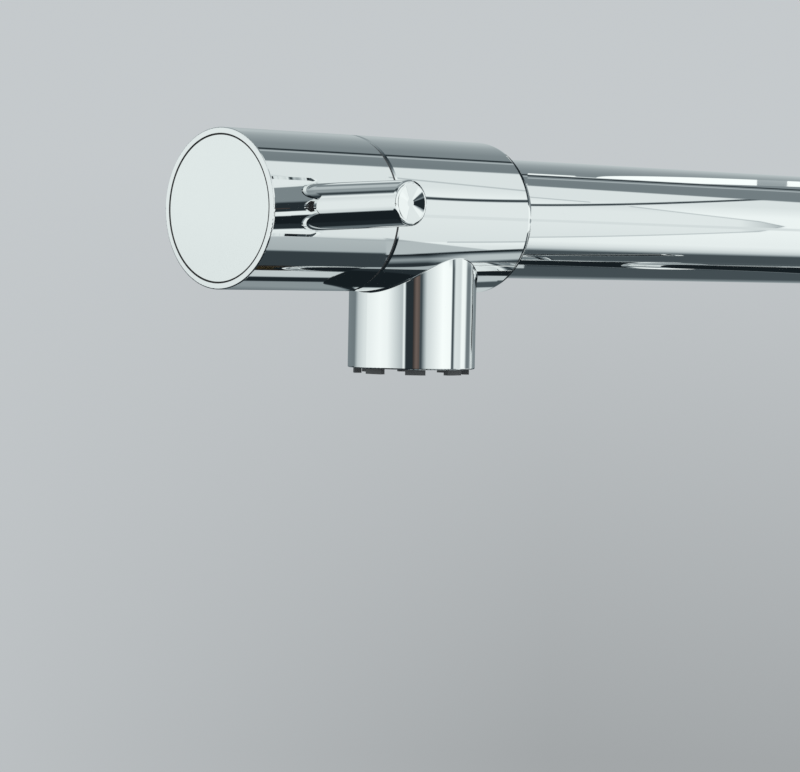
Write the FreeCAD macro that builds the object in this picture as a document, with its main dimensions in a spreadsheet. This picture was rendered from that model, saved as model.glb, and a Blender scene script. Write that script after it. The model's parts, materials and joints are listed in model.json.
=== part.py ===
import FreeCAD, Part
import math
import os
import re

import Sketcher

# A three way kitchen tap: a column with a side mixer for hot and cold water, a swivelling L-shaped spout,
# and a filtered-water valve in the spout's end, worked by a knob with a stick lever.
# Millimetres, +Z up. The origin is on the deck, under the column's axis; the spout reaches towards -X.

SIZES = {
    # the whole tap
    "spout_reach": 220.0,  # column axis to outlet axis
    "arm_height": 280.0,  # deck to the arm's axis
    "mixer_height": 79.0,  # deck to the mixer's axis
    "running_gap": 0.05,  # round a piece that turns or slides in another
    "seat_gap": 0.03,  # round a piece that stays in its seat
    "film_gap": 0.02,  # between two ceramic discs
    "cut_past": 1.0,  # how far a cutting tool runs past a face
    # spout tube
    "arm_radius": 14.0,
    "arm_wall": 1.5,
    "bend_radius": 42.0,
    "filter_tube_radius": 4.75,
    "filter_tube_bore": 3.2,
    # valve head on the arm's end
    "head_radius": 17.5,
    "knob_length": 37.65,
    "seam_gap": 0.6,
    "seam_chamfer": 0.35,
    "head_length": 44.2,
    "head_end_round": 2.6,
    "outlet_from_end": 60.1,  # knob's end face to the outlet's axis
    "outlet_radius": 14.6,
    "outlet_drop": 34.95,  # arm axis to the outlet's rim
    "outlet_rim_round": 0.3,
    "saddle_round": 0.4,
    "spigot_radius": 14.0,  # the head's nose inside the knob
    "spigot_length": 8.7,
    "arm_socket_depth": 14.0,
    "throat_radius": 11.5,
    "throat_length": 7.0,
    "web_thickness": 3.0,
    "valve_chamber_radius": 12.0,
    "valve_chamber_length": 14.0,
    "headwork_thread_radius": 10.0,
    "drain_radius": 10.5,
    "drain_top": 9.5,
    # knob
    "knob_rest_turn": 1.7,  # degrees that the lever stands above level
    "knob_edge_round": 0.3,
    "cap_recess_radius": 16.2,
    "cap_recess_depth": 1.1,
    "cap_radius": 15.8,
    "cap_thickness": 1.0,
    "cap_peg_radius": 4.6,
    "cap_peg_length": 2.4,
    "cap_ring_thickness": 0.8,
    "knob_counterbore_radius": 4.7,
    "knob_counterbore_depth": 7.5,
    "knob_screw_radius": 2.5,
    "knob_screw_length": 12.0,
    "knob_screw_head_radius": 4.3,
    "knob_screw_head_height": 2.8,
    "screw_slot_half_width": 0.6,
    "screw_slot_depth": 0.95,
    "knob_cavity_start": 20.0,
    "knob_wall": 2.9,
    "pocket_start": 0.45,
    "pocket_half_width": 5.75,
    "pocket_depth": 1.8,
    "pocket_bevel": 0.6,
    # knob's lever
    "lever_from_end": 11.5,
    "lever_tip_reach": 47.15,
    "lever_base_radius": 5.1,
    "lever_tip_radius": 4.83,
    "lever_tip_round": 0.9,
    "lever_dish_radius": 3.85,
    "lever_dish_floor_radius": 0.9,
    "lever_dish_depth": 0.38,
    "stud_radius": 2.5,
    "stud_inner_reach": 6.3,
    "stud_engagement": 9.0,
    # filtered-water headwork
    "glide_thickness": 0.5,
    "headwork_flange_radius": 12.0,
    "headwork_flange_height": 3.5,
    "headwork_nose_radius": 8.6,
    "headwork_wall": 1.55,
    "spindle_radius": 5.0,
    "spindle_start": 12.2,
    "spindle_spline_radius": 3.95,
    "spindle_spline_length": 9.3,
    "spindle_flange_radius": 6.8,
    "spindle_flange_height": 2.5,
    "spindle_flange_start": 44.55,
    "clip_thickness": 0.8,
    "clip_radius": 6.4,
    "clip_mouth_half_width": 3.3,
    "spindle_groove_depth": 0.9,
    "spindle_seal_thickness": 0.85,
    "spindle_seal_place": 33.0,
    "spindle_seal_pitch": 5.0,
    "valve_disc_radius": 6.9,
    "valve_disc_thickness": 3.0,
    "valve_port_radius": 1.9,
    "valve_port_offset": 3.6,
    "window_width": 7.0,
    "window_length": 3.5,
    # filtered-water nipple in the head
    "nipple_bore": 2.2,
    "nipple_radius": 4.0,
    "nipple_flange_radius": 6.0,
    "nipple_flange_height": 2.0,
    "nipple_barb_length": 12.0,
    # aerator in the outlet
    "aerator_thread_radius": 12.0,
    "aerator_bore": 10.0,
    "aerator_depth": 12.94,
    "aerator_washer_height": 2.0,
    "aerator_washer_bore": 8.5,
    "aerator_flange_radius": 13.3,
    "aerator_flange_height": 2.0,
    "aerator_lip_bore": 9.2,
    "aerator_lip_height": 0.8,
    "tab_height": 1.26,
    "tab_inner_radius": 11.7,
    "tab_count": 8.0,
    "tab_angle": 20.0,
    "tab_phase": -131.3,
    "screen_edge": 1.0,  # plain margin round the holes
    "screen_thickness": 0.8,
    "screen_cup_height": 4.0,
    "screen_cup_wall": 0.8,
    "screen_hole_radius": 0.95,
    "screen_hole_pitch": 2.5,
    "jet_plate_thickness": 2.6,
    "jet_hole_radius": 0.6,
    "jet_ring_radius": 6.4,
    "jet_count": 12.0,
    "strainer_thickness": 0.8,
    "strainer_hole_radius": 0.7,
    "strainer_hole_pitch": 2.8,
    # swivel foot of the spout
    "foot_radius": 14.9,
    "foot_length": 31.0,
    "foot_neck_length": 20.0,
    "foot_bore": 9.5,
    "thrust_washer_height": 1.5,
    "foot_seal_thickness": 2.0,
    "foot_seal_place": 5.0,
    "foot_seal_pitch": 6.0,
    "seal_groove_room": 0.25,
    "lock_screw_radius": 2.0,
    "lock_screw_place": 20.0,
    "lock_screw_sunk": 0.25,
    "lock_screw_tip_gap": 0.4,
    "lock_groove_room": 0.2,
    "lock_groove_depth": 2.0,
    "collar_height": 6.0,
    "collar_edge": 1.5,
    "collar_thread_radius": 18.0,
    "collar_thread_depth": 6.0,
    # column
    "column_radius": 23.0,
    "column_top": 150.0,
    "chamber_radius": 12.5,
    "chamber_height": 12.5,
    "boss_radius": 7.0,
    "boss_height": 9.0,
    "tube_socket_depth": 15.0,
    "tube_seal_radius": 6.0,
    "tube_seal_height": 2.5,
    "port_circle": 8.2,
    "port_radius": 4.5,
    "port_depth": 12.0,
    "channel_radius": 3.0,
    "filter_channel_top": 88.0,
    # side mixer, measured outwards from the column's axis
    "mixer_boss_radius": 21.0,
    "mixer_boss_length": 44.0,
    "mixer_saddle_round": 1.2,
    "cartridge_pocket_depth": 30.0,
    "cartridge_bore": 17.75,
    "cartridge_radius": 17.3,
    "cartridge_base_height": 4.0,
    "cartridge_wall": 3.3,
    "cartridge_length": 21.0,
    "cartridge_roof": 3.0,
    "cartridge_play": 0.15,
    "port_seal_height": 2.0,
    "port_seal_pocket": 1.0,
    "port_seal_radius": 4.6,
    "mixed_port_rise": 7.0,
    "supply_port_drop": 5.0,
    "mixer_disc_thickness": 3.5,
    "moving_disc_radius": 9.5,
    "moving_disc_thickness": 3.0,
    "mixing_hollow_radius": 6.65,
    "mixing_hollow_depth": 1.5,
    "carrier_radius": 10.0,
    "carrier_thickness": 4.5,
    "ball_radius": 2.9,
    "ball_drop": 7.5,
    "rotor_flange_height": 2.3,
    "rotor_neck_radius": 10.0,
    "rotor_neck_depth": 4.5,
    "rotor_slot_half_length": 7.2,
    "pivot_depth": 8.0,
    "pivot_pin_radius": 1.25,
    "pivot_pin_half_length": 9.5,
    "stem_half_width": 3.95,
    "handle_roof": 4.0,
    "stem_neck_radius": 2.1,
    "stem_neck_length": 3.0,
    "cartridge_nut_height": 6.0,
    "cartridge_nut_bore": 12.0,
    "cartridge_nut_slot_half_width": 3.0,
    "cartridge_nut_slot_depth": 2.4,
    "dome_radius": 21.0,
    "dome_thickness": 2.0,
    "dome_opening": 12.5,
    "cover_bore": 14.75,
    "dome_flange_height": 1.0,
    "dome_skirt_height": 1.8,
    "handle_gap": 0.6,
    "handle_radius": 16.0,
    "handle_standoff": 8.3,
    "handle_height": 17.7,
    "handle_edge_round": 1.2,
    "handle_lever_height": 8.9,
    "handle_lever_reach": 88.0,
    "handle_lever_base_radius": 5.1,
    "handle_lever_tip_radius": 4.8,
    "handle_tail_radius": 3.0,
    "handle_tail_reach": 6.5,
    "grub_screw_radius": 2.0,
    "grub_screw_length": 6.0,
    "plug_radius": 3.0,
    "plug_height": 1.7,
    # deck mounting
    "base_radius": 27.0,
    "base_height": 6.0,
    "base_edge_round": 2.0,
    "base_seal_inner": 20.0,
    "base_seal_outer": 25.0,
    "base_seal_height": 1.5,
    "shank_radius": 16.5,
    "shank_wall": 2.5,
    "shank_drop": 60.0,
    "shank_pilot_radius": 15.4,
    "shank_pilot_length": 10.0,
    "shank_socket_depth": 16.0,
    "deck_thickness": 30.0,
    "gasket_radius": 28.0,
    "gasket_thickness": 3.0,
    "washer_radius": 27.0,
    "washer_thickness": 2.0,
    "nut_flats": 46.0,
    "nut_height": 9.0,
    "nut_chamfer": 1.5,
}

# Places and sizes that follow from the driving ones.
DERIVED = {
    "head_start": "knob_length + seam_gap",
    "head_end": "head_start + head_length",
    "spigot_start": "head_start - spigot_length",
    "arm_seat": "head_end - arm_socket_depth",
    "web_end": "arm_seat - throat_length",
    "web_start": "web_end - web_thickness",
    "chamber_start": "web_start - valve_chamber_length",
    "knob_end_x": "0 - spout_reach - outlet_from_end",
    "knob_cavity_radius": "head_radius - knob_wall",
    "pocket_floor": "head_radius - pocket_depth",
    "knob_screw_head_start": "knob_counterbore_depth - knob_screw_head_height",
    "glide_radius": "knob_cavity_radius - running_gap",
    "headwork_flange_start": "spigot_start - headwork_flange_height",
    "headwork_bore": "headwork_nose_radius - headwork_wall",
    "headwork_chamber_start": "spindle_flange_start - running_gap",
    "turning_disc_start": "spindle_flange_start + spindle_flange_height",
    "fixed_disc_start": "turning_disc_start + valve_disc_thickness + film_gap",
    "headwork_seal_start": "fixed_disc_start + valve_disc_thickness",
    "tube_start": "web_end + nipple_flange_height",
    "arm_bore": "arm_radius - arm_wall",
    "aerator_seat": "outlet_drop - aerator_depth",
    "aerator_start": "aerator_seat + aerator_washer_height",
    "aerator_end": "outlet_drop - seat_gap",
    "screen_end": "aerator_end - aerator_lip_height",
    "screen_start": "screen_end - screen_cup_height",
    "jet_plate_start": "screen_start - jet_plate_thickness",
    "foot_top": "column_top - 2 * running_gap",
    "foot_bottom": "foot_top - foot_length",
    "socket_floor": "foot_bottom - thrust_washer_height",
    "socket_radius": "foot_radius + running_gap",
    "chamber_floor": "socket_floor - chamber_height",
    "boss_top": "chamber_floor + boss_height",
    "tube_socket_floor": "boss_top - tube_socket_depth",
    "tube_socket_radius": "filter_tube_radius + running_gap",
    "foot_groove_radius": "foot_radius - foot_seal_thickness",
    "mixed_channel_radius": "(chamber_radius - boss_radius) / 2",
    "mixed_channel_y": "0 - (chamber_radius + boss_radius) / 2",
    "shank_top": "base_height + shank_socket_depth",
    "port_top": "shank_top + port_depth",
    "cartridge_seat": "mixer_boss_length - cartridge_pocket_depth",
    "base_plate_start": "cartridge_seat + port_seal_height - port_seal_pocket",
    "housing_start": "base_plate_start + cartridge_base_height",
    "housing_end": "base_plate_start + cartridge_length",
    "housing_bore": "cartridge_radius - cartridge_wall",
    "moving_disc_start": "housing_start + mixer_disc_thickness + film_gap",
    "carrier_start": "moving_disc_start + moving_disc_thickness",
    "carrier_end": "carrier_start + carrier_thickness",
    "rotor_flange_end": "housing_end - cartridge_roof - running_gap",
    "rotor_start": "rotor_flange_end - rotor_flange_height",
    "pivot_place": "mixer_boss_length - pivot_depth",
    "ball_place": "pivot_place - ball_drop",
    "rotor_neck_end": "mixer_boss_length - rotor_neck_depth",
    "handle_start": "mixer_boss_length + handle_standoff",
    "handle_end": "handle_start + handle_height",
    "handle_lever_place": "handle_start + handle_lever_height",
    "stem_end": "handle_end - handle_roof",
    "supply_port_z": "mixer_height - supply_port_drop",
    "mixed_port_z": "mixer_height + mixed_port_rise",
    "supply_port_x": "port_circle * cos(30)",
    "supply_port_y": "0 - port_circle * sin(30)",
    "shank_bore": "shank_radius - shank_wall",
    "gasket_top": "0 - deck_thickness",
    "washer_top": "gasket_top - gasket_thickness",
    "nut_top": "washer_top - washer_thickness",
}

DOC = FreeCAD.newDocument("ThreeWayTap")
SHEET = DOC.addObject("Spreadsheet::Sheet", "Sizes")
SUBPARTS = []

X_AXIS = FreeCAD.Vector(1, 0, 0)
Y_AXIS = FreeCAD.Vector(0, 1, 0)
Z_AXIS = FreeCAD.Vector(0, 0, 1)


def fill_sheet():
    for row, (name, value) in enumerate(SIZES.items(), start=1):
        SHEET.set("A%d" % row, name)
        SHEET.set("B%d" % row, str(value))
        SHEET.setAlias("B%d" % row, name)
    DOC.recompute()


def spell(text):
    """A size formula with its names looked up: derived ones in full, driving ones in the sheet."""

    def look_up(match):
        name = match.group(0)
        if name in DERIVED:
            return "(" + spell(DERIVED[name]) + ")"
        if name in SIZES:
            return "Sizes." + name
        return name

    return re.sub(r"[a-z_][a-z0-9_]*", look_up, str(text))


def value(text):
    return float(SHEET.evalExpression(spell(text)))


def bind(thing, **formulas):
    """Ties properties of an object to size formulas; base_x, base_y and base_z are its place."""
    for name, text in formulas.items():
        path = ".Placement.Base." + name[-1] if name.startswith("base_") else name
        thing.setExpression(path, spell(text))


# Frames: where each group of pieces is drawn, and how its own Z axis lies on the tap.
ALONG_ARM = FreeCAD.Rotation(Y_AXIS, 90)  # Z runs along the arm from the knob's end, X points down
SIDEWAYS = FreeCAD.Rotation(X_AXIS, 90)  # Z points to the mixer's side, Y points up
DOWNWARDS = FreeCAD.Rotation(X_AXIS, 180)


def frames():
    turned_up = FreeCAD.Rotation(FreeCAD.Vector(-1, 0, 0), value("knob_rest_turn"))
    return {
        "tap": (("0", "0", "0"), FreeCAD.Rotation()),
        "arm": (("knob_end_x", "0", "arm_height"), ALONG_ARM),
        "knob": (("knob_end_x", "0", "arm_height"), turned_up * ALONG_ARM),
        "lever": (("knob_end_x + lever_from_end", "0", "arm_height"), turned_up * SIDEWAYS),
        "outlet": (("0 - spout_reach", "0", "arm_height"), DOWNWARDS),
        "mixer": (("0", "0", "mixer_height"), SIDEWAYS),
        "handle_lever": (("0", "0 - handle_lever_place", "mixer_height"), FreeCAD.Rotation()),
        "grub": (("0", "0 - handle_lever_place", "mixer_height"), DOWNWARDS),
        "back_screw": (("0", "0", "foot_bottom + lock_screw_place"), ALONG_ARM),
    }


def put(thing, label, frame):
    """Names a sub-part and puts it in its place on the tap."""
    (x, y, z), rotation = FRAMES[frame]
    thing.Label = label
    thing.Placement = FreeCAD.Placement(FreeCAD.Vector(value(x), value(y), value(z)), rotation)
    bind(thing, base_x=x, base_y=y, base_z=z)
    SUBPARTS.append(thing)
    return thing


def turned(name, outline):
    """A body turned about its own Z axis from a closed outline of (radius, height) formulas."""
    body = DOC.addObject("PartDesign::Body", name)
    sketch = body.newObject("Sketcher::SketchObject", name + "_outline")
    plane = [item for item in body.Origin.OriginFeatures if item.Role == "XZ_Plane"][0]
    sketch.AttachmentSupport = [(plane, "")]
    sketch.MapMode = "FlatFace"
    points = [FreeCAD.Vector(value(radius), value(height), 0) for radius, height in outline]
    count = len(points)
    for number in range(count):
        sketch.addGeometry(Part.LineSegment(points[number], points[(number + 1) % count]), False)
    for number in range(count):
        sketch.addConstraint(Sketcher.Constraint("Coincident", number, 2, (number + 1) % count, 1))
    for number, formulas in enumerate(outline):
        for direction, formula in zip(("DistanceX", "DistanceY"), formulas):
            here = value(formula)
            rule = sketch.addConstraint(Sketcher.Constraint(direction, -1, 1, number, 1, here))
            sketch.setExpression("Constraints[%d]" % rule, spell(formula))
    turning = body.newObject("PartDesign::Revolution", name + "_turned")
    turning.Profile = sketch
    turning.ReferenceAxis = (sketch, ["V_Axis"])
    turning.Angle = 360
    DOC.recompute()
    return body


def tube(name, inner, outer, start, end):
    return turned(name, [(inner, start), (outer, start), (outer, end), (inner, end)])


def solid_turned(name, steps):
    """A turned body without a bore: steps are (radius, start, end), one after the other."""
    outline = [("0", steps[0][1])]
    for radius, start, end in steps:
        outline.append((radius, start))
        outline.append((radius, end))
    outline.append(("0", steps[-1][2]))
    return turned(name, outline)


def rings(shape, places):
    """The names of a shape's round edges at the given (radius, height) places."""
    found = []
    for number, edge in enumerate(shape.Edges, start=1):
        curve = edge.Curve
        if not isinstance(curve, Part.Circle):
            continue
        for radius, height in places:
            near = abs(curve.Radius - value(radius)) < 1e-4
            level = abs(edge.BoundBox.ZMin - value(height)) < 1e-4
            flat = edge.BoundBox.ZLength < 1e-4
            if near and level and flat:
                found.append("Edge%d" % number)
    if len(found) < len(places):
        raise RuntimeError("an edge to soften isn't there: %s" % (places,))
    return found


def rounded(body, amount, *places):
    feature = body.newObject("PartDesign::Fillet", body.Name + "_round")
    base = body.Group[-2]
    feature.Base = (base, rings(base.Shape, places))
    feature.setExpression("Radius", spell(amount))
    DOC.recompute()
    return body


def chamfered(body, amount, *places):
    feature = body.newObject("PartDesign::Chamfer", body.Name + "_chamfer")
    base = body.Group[-2]
    feature.Base = (base, rings(base.Shape, places))
    feature.setExpression("Size", spell(amount))
    DOC.recompute()
    return body


TURNS = {"x": FreeCAD.Rotation(Y_AXIS, 90), "y": FreeCAD.Rotation(X_AXIS, -90), "z": FreeCAD.Rotation()}


def rod(radius, axis, start, end, across=("0", "0")):
    """A cylinder along an axis, from start to end, at the two other coordinates in their order."""
    thing = DOC.addObject("Part::Cylinder", "Rod")
    place = dict(zip([letter for letter in "xyz" if letter != axis], across))
    place[axis] = start
    thing.Placement = FreeCAD.Placement(FreeCAD.Vector(), TURNS[axis])
    bind(thing, Radius=radius, Height="(%s) - (%s)" % (end, start))
    bind(thing, base_x=place["x"], base_y=place["y"], base_z=place["z"])
    return thing


def rod_along_x(radius, half_length, height):
    return fused(rod(radius, "x", "0 - " + half_length, "0", ("0", height)),
                 rod(radius, "x", "0", half_length, ("0", height)))


def block(x_span, y_span, z_span):
    thing = DOC.addObject("Part::Box", "Block")
    spans = {"Length": x_span, "Width": y_span, "Height": z_span}
    bind(thing, **{name: "(%s) - (%s)" % (high, low) for name, (low, high) in spans.items()})
    bind(thing, base_x=x_span[0], base_y=y_span[0], base_z=z_span[0])
    return thing


def ball(radius, x, y, z):
    thing = DOC.addObject("Part::Sphere", "Ball")
    bind(thing, Radius=radius, base_x=x, base_y=y, base_z=z)
    return thing


def ring(middle_radius, section_radius, height):
    thing = DOC.addObject("Part::Torus", "Ring")
    bind(thing, Radius1=middle_radius, Radius2=section_radius, base_z=height)
    return thing


def fused(*things):
    joined = DOC.addObject("Part::MultiFuse", "Joined")
    joined.Shapes = list(things)
    joined.Refine = True
    return joined


def group(*things):
    together = DOC.addObject("Part::Compound", "Group")
    together.Links = list(things)
    return together


def cut(base, *tools):
    result = DOC.addObject("Part::Cut", "Cut")
    result.Base = base
    result.Tool = tools[0] if len(tools) == 1 else fused(*tools)
    result.Refine = True
    return result


def common(one, other):
    result = DOC.addObject("Part::Common", "Common")
    result.Base = one
    result.Tool = other
    return result


def softened(kind, base, amount, wanted):
    """A fillet or chamfer on the edges of a shape that the wanted test picks."""
    DOC.recompute()
    size = value(amount)
    feature = DOC.addObject("Part::" + kind, kind)
    feature.Base = base
    picked = [number for number, edge in enumerate(base.Shape.Edges, start=1) if wanted(edge)]
    if not picked:
        raise RuntimeError("no edge to soften")
    feature.Edges = [(number, size, size) for number in picked]
    DOC.recompute()
    return feature


def points_of(edge):
    return [edge.valueAt(edge.FirstParameter + share * (edge.LastParameter - edge.FirstParameter))
            for share in (0.0, 0.25, 0.5, 0.75, 1.0)]


def off_axis(point, axis):
    others = [getattr(point, letter) for letter in "xyz" if letter != axis]
    return math.hypot(*others)


def honeycomb(radius, pitch, limit, start, end):
    """Small holes on a triangular grid, as many as lie within the limit radius."""
    step = value(pitch)
    reach = value(limit) - value(radius)
    rows = int(reach / (step * math.sin(math.pi / 3))) + 1
    holes = []
    for row in range(-rows, rows + 1):
        for column in range(-2 * rows, 2 * rows + 1):
            east = (column + row / 2) * step
            north = row * step * math.sin(math.pi / 3)
            if math.hypot(east, north) <= reach:
                across = ("%r * %s" % (column + row / 2, pitch), "%r * %s * sin(60)" % (row, pitch))
                holes.append(rod(radius, "z", start, end, across))
    return group(*holes)


def round_pattern(radius, circle, count, start, end):
    holes = []
    for number in range(int(value(count))):
        angle = "%d * 360 / %s" % (number, count)
        across = ("%s * cos(%s)" % (circle, angle), "%s * sin(%s)" % (circle, angle))
        holes.append(rod(radius, "z", start, end, across))
    return group(*holes)


# ---------------------------------------------------------------- the knob and what turns with it


def filter_knob():
    shell = turned("knob_shell", [
        ("knob_counterbore_radius", "cap_recess_depth"),
        ("cap_recess_radius", "cap_recess_depth"),
        ("cap_recess_radius", "0"),
        ("head_radius", "0"),
        ("head_radius", "knob_length"),
        ("knob_cavity_radius", "knob_length"),
        ("knob_cavity_radius", "knob_cavity_start"),
        ("spindle_spline_radius + seat_gap", "knob_cavity_start"),
        ("spindle_spline_radius + seat_gap", "spindle_start - seat_gap"),
        ("knob_screw_radius + seat_gap", "spindle_start - seat_gap"),
        ("knob_screw_radius + seat_gap", "knob_counterbore_depth"),
        ("knob_counterbore_radius", "knob_counterbore_depth"),
    ])
    rounded(shell, "knob_edge_round", ("head_radius", "0"))
    chamfered(shell, "seam_chamfer", ("head_radius", "knob_length"))
    reach = "0 - head_radius - cut_past"
    straight = block(("0 - pocket_half_width", "pocket_half_width"), (reach, "0 - pocket_floor"),
                     ("pocket_start", "lever_from_end"))
    end = rod("pocket_half_width", "y", reach, "0 - pocket_floor", ("0", "lever_from_end"))
    pocketed = cut(shell, fused(straight, end))
    rim = value("head_radius")
    strip = value("pocket_start")

    def pocket_rim(edge):
        points = points_of(edge)
        on_rim = all(abs(off_axis(point, "z") - rim) < 1e-3 for point in points)
        in_pocket = all(point.y < 0 and abs(point.x) < value("pocket_half_width") + 0.1 for point in points)
        farthest = max(point.z for point in points)
        past_strip = points[2].z > strip + 0.05 and farthest < value("knob_cavity_start")
        return on_rim and in_pocket and past_strip

    bevelled = softened("Chamfer", pocketed, "pocket_bevel", pocket_rim)
    stud_hole = rod("stud_radius", "y", reach, "0 - stud_inner_reach + seat_gap", ("0", "lever_from_end"))
    put(cut(bevelled, stud_hole), "filter_knob", "knob")


def knob_end_cap():
    disc = solid_turned("cap_disc", [
        ("cap_radius", "cap_recess_depth - cap_thickness", "cap_recess_depth"),
        ("cap_peg_radius", "cap_recess_depth", "cap_recess_depth + cap_peg_length"),
    ])
    put(disc, "knob_end_cap", "knob")


def knob_cap_ring():
    band = tube("cap_ring", "cap_radius", "cap_recess_radius",
                "cap_recess_depth - cap_ring_thickness", "cap_recess_depth")
    put(band, "knob_cap_ring", "knob")


def knob_screw():
    screw = solid_turned("knob_screw_body", [
        ("knob_screw_head_radius", "knob_screw_head_start", "knob_counterbore_depth"),
        ("knob_screw_radius", "knob_counterbore_depth", "knob_counterbore_depth + knob_screw_length"),
    ])
    slot = block(("0 - knob_screw_head_radius", "knob_screw_head_radius"),
                 ("0 - screw_slot_half_width", "screw_slot_half_width"),
                 ("knob_screw_head_start", "knob_screw_head_start + screw_slot_depth"))
    put(cut(screw, slot), "knob_screw", "knob")


def dished_stick(name, base, base_radius, tip, tip_radius):
    """A slightly tapered stick whose end is rounded and hollowed."""
    stick = turned(name, [
        ("0", base),
        (base_radius, base),
        (tip_radius, tip),
        ("lever_dish_radius", tip),
        ("lever_dish_floor_radius", "%s - lever_dish_depth" % tip),
        ("0", "%s - lever_dish_depth" % tip),
    ])
    return rounded(stick, "lever_tip_round", (tip_radius, tip))


def knob_lever():
    stick = dished_stick("knob_stick", "pocket_floor", "lever_base_radius",
                         "lever_tip_reach", "lever_tip_radius")
    hole = rod("stud_radius", "z", "0", "pocket_floor + stud_engagement + seat_gap")
    put(cut(stick, hole), "knob_lever", "lever")


def lever_stud():
    put(solid_turned("lever_stud_body", [
        ("stud_radius", "stud_inner_reach", "pocket_floor + stud_engagement"),
    ]), "lever_stud", "lever")


def valve_spindle():
    spline_end = "spindle_start + spindle_spline_length"
    groove_radius = "spindle_radius - spindle_groove_depth"
    clip_end = "headwork_flange_start - running_gap"
    clip_start = clip_end + " - clip_thickness"
    outline = [
        ("knob_screw_radius", "spindle_start"),
        ("spindle_spline_radius", "spindle_start"),
        ("spindle_spline_radius", spline_end),
        ("spindle_radius", spline_end),
        ("spindle_radius", clip_start),
        (groove_radius, clip_start),
        (groove_radius, clip_end),
        ("spindle_radius", clip_end),
    ]
    for number in range(2):
        middle = "spindle_seal_place + %d * spindle_seal_pitch" % number
        low = middle + " - spindle_seal_thickness / 2 - running_gap"
        high = middle + " + spindle_seal_thickness / 2 + running_gap"
        groove = "spindle_radius - spindle_seal_thickness"
        outline += [("spindle_radius", low), (groove, low), (groove, high), ("spindle_radius", high)]
    screw_end = "knob_counterbore_depth + knob_screw_length + seat_gap"
    outline += [
        ("spindle_radius", "spindle_flange_start"),
        ("spindle_flange_radius", "spindle_flange_start"),
        ("spindle_flange_radius", "turning_disc_start"),
        ("0", "turning_disc_start"),
        ("0", screw_end),
        ("knob_screw_radius", screw_end),
    ]
    put(turned("spindle_body", outline), "valve_spindle", "knob")


def spindle_o_rings():
    section = "spindle_seal_thickness / 2"
    middle = "spindle_radius - spindle_seal_thickness / 2"
    seals = [ring(middle, section, "spindle_seal_place + %d * spindle_seal_pitch" % number)
             for number in range(2)]
    put(group(*seals), "spindle_o_rings", "knob")


def spindle_clip():
    clip_end = "headwork_flange_start - running_gap"
    band = tube("clip_band", "spindle_radius - spindle_groove_depth", "clip_radius",
                clip_end + " - clip_thickness", clip_end)
    mouth = ("0 - clip_mouth_half_width", "clip_mouth_half_width")
    gap = block(mouth, ("0", "clip_radius + cut_past"), ("0", clip_end))
    put(cut(band, gap), "spindle_clip", "knob")


def disc_ports(start, end):
    return [rod("valve_port_radius", "z", start, end, ("0", side + "valve_port_offset"))
            for side in ("", "0 - ")]


def turning_valve_disc():
    end = "turning_disc_start + valve_disc_thickness"
    plate = rod("valve_disc_radius", "z", "turning_disc_start", end)
    put(cut(plate, *disc_ports("turning_disc_start", end)), "turning_valve_disc", "knob")


# ---------------------------------------------------------------- the valve head on the arm's end


def valve_head():
    barrel = turned("head_barrel", [
        ("0", "spigot_start"),
        ("spigot_radius", "spigot_start"),
        ("spigot_radius", "head_start"),
        ("head_radius", "head_start"),
        ("head_radius", "head_end"),
        ("0", "head_end"),
    ])
    chamfered(barrel, "seam_chamfer", ("head_radius", "head_start"))
    rounded(barrel, "head_end_round", ("head_radius", "head_end"))
    across = ("0", "outlet_from_end")
    sleeve = rod("outlet_radius", "x", "0", "outlet_drop", across)
    body = fused(barrel, sleeve)
    rim_drop = value("outlet_drop")
    radius = value("outlet_radius")
    middle = value("outlet_from_end")

    def outlet_rim(edge):
        return all(abs(point.x - rim_drop) < 1e-3 for point in points_of(edge))

    def saddle(edge):
        points = points_of(edge)
        on_sleeve = all(abs(math.hypot(point.y, point.z - middle) - radius) < 1e-3 for point in points)
        on_barrel = all(abs(off_axis(point, "z") - value("head_radius")) < 1e-2 for point in points)
        return on_sleeve and on_barrel

    body = softened("Fillet", body, "saddle_round", saddle)
    body = softened("Fillet", body, "outlet_rim_round", outlet_rim)
    flange_bore = "aerator_flange_radius + seat_gap"
    put(cut(
        body,
        rod("headwork_thread_radius", "z", "spigot_start - cut_past", "chamber_start"),
        rod("valve_chamber_radius", "z", "chamber_start", "web_start"),
        rod("nipple_radius + seat_gap", "z", "web_start", "web_end"),
        rod("throat_radius", "z", "web_end", "arm_seat"),
        rod("arm_radius + seat_gap", "z", "arm_seat", "head_end + cut_past"),
        rod("drain_radius", "x", "drain_top", "aerator_seat", across),
        rod("aerator_thread_radius + seat_gap", "x", "aerator_seat", "outlet_drop + cut_past", across),
        rod(flange_bore, "x", "outlet_drop - aerator_flange_height", "outlet_drop + cut_past", across),
    ), "valve_head", "arm")


def knob_glide_ring():
    flange_start = "knob_length + running_gap"
    put(turned("glide_band", [
        ("spigot_radius", "spigot_start + glide_thickness"),
        ("glide_radius", "spigot_start + glide_thickness"),
        ("glide_radius", flange_start),
        ("head_radius - glide_thickness", flange_start),
        ("head_radius - glide_thickness", "head_start"),
        ("spigot_radius", "head_start"),
    ]), "knob_glide_ring", "arm")


def headwork_body():
    thread = "headwork_thread_radius - seat_gap"
    body = turned("headwork_shell", [
        ("spindle_radius + running_gap", "headwork_flange_start"),
        ("headwork_flange_radius", "headwork_flange_start"),
        ("headwork_flange_radius", "spigot_start"),
        (thread, "spigot_start"),
        (thread, "chamber_start"),
        ("headwork_nose_radius", "chamber_start"),
        ("headwork_nose_radius", "web_start"),
        ("headwork_bore", "web_start"),
        ("headwork_bore", "headwork_chamber_start"),
        ("spindle_radius + running_gap", "headwork_chamber_start"),
    ])
    window = block(("0 - headwork_nose_radius - cut_past", "headwork_nose_radius + cut_past"),
                   ("0 - window_width / 2", "window_width / 2"),
                   ("turning_disc_start", "turning_disc_start + window_length"))
    put(cut(body, window), "headwork_body", "arm")


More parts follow.
